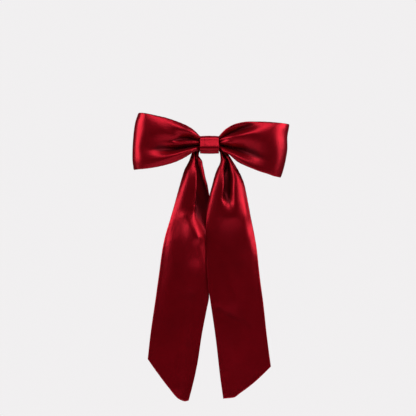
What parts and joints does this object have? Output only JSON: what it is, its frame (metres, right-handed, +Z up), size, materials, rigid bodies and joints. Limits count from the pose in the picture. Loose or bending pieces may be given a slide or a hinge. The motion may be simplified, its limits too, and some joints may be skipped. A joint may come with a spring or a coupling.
{
  "type": "hair bow barrette",
  "caption": "Wide satin hair bow with flat loops, a gathered centre band and long slanted tails, sewn to a sprung steel barrette.",
  "frame": {"origin": "middle of the hair space between the tension leaf and the clasp arm, level with the middle of the knot", "axes": "+X along the barrette towards its hinge, +Z up, -Y out of the bow's face, +Y towards the head"},
  "size_m": [0.1584, 0.0369, 0.2976],
  "materials": {
    "satin": "deep red satin, double ply",
    "thread": "twisted sewing thread",
    "plate_steel": "nickel-plated stamped steel",
    "spring_steel": "nickel-plated spring steel"
  },
  "bodies": {
    "bow": {"base_plate": "plate_steel", "hinge_pin": "plate_steel", "catch_foot": "plate_steel", "catch_rivet": "plate_steel", "loop_ribbon": "satin", "tail_ribbon_middle": "satin", "knot_band": "satin", "gathering_thread": "thread", "band_closing_thread": "thread"},
    "clasp_arm": {"clasp_arm": "plate_steel"},
    "tension_leaf": {"tension_leaf": "spring_steel"},
    "catch_prong_upper": {"catch_prong_upper": "spring_steel"},
    "catch_prong_lower": {"catch_prong_lower": "spring_steel"},
    "left_tail": {"left_tail": "satin"},
    "right_tail": {"right_tail": "satin"}
  },
  "joints": [
    {"name": "arm_hinge", "type": "hinge", "parent": "bow", "child": "clasp_arm", "pos_m": [0.037, 0.0042, 0], "axis": [0, 0, -1], "range_deg": [0, 80]},
    {"name": "leaf_flex", "type": "hinge", "parent": "bow", "child": "tension_leaf", "pos_m": [0.0325, -0.0011, 0], "axis": [0, 0, -1], "range_deg": [0, 8]},
    {"name": "catch_pinch_upper", "type": "hinge", "parent": "bow", "child": "catch_prong_upper", "pos_m": [-0.0383, -0.0002, 0.0027], "axis": [-1, 0, 0], "range_deg": [0, 10], "stiffness_Nm_per_rad": 0.25},
    {"name": "catch_pinch_lower", "type": "hinge", "parent": "bow", "child": "catch_prong_lower", "pos_m": [-0.0383, -0.0002, -0.0027], "axis": [1, 0, 0], "range_deg": [0, 10], "stiffness_Nm_per_rad": 0.25},
    {"name": "left_tail_swing", "type": "hinge", "parent": "bow", "child": "left_tail", "pos_m": [-0.014, -0.0092, -0.012], "axis": [1, 0, 0], "range_deg": [-45, 45]},
    {"name": "right_tail_swing", "type": "hinge", "parent": "bow", "child": "right_tail", "pos_m": [0.014, -0.0092, -0.012], "axis": [1, 0, 0], "range_deg": [-45, 45]}
  ],
  "couplings": [
    {"joint": "leaf_flex", "follows": "arm_hinge", "ratio": 0.1},
    {"joint": "catch_pinch_lower", "follows": "catch_pinch_upper", "ratio": 1}
  ]
}
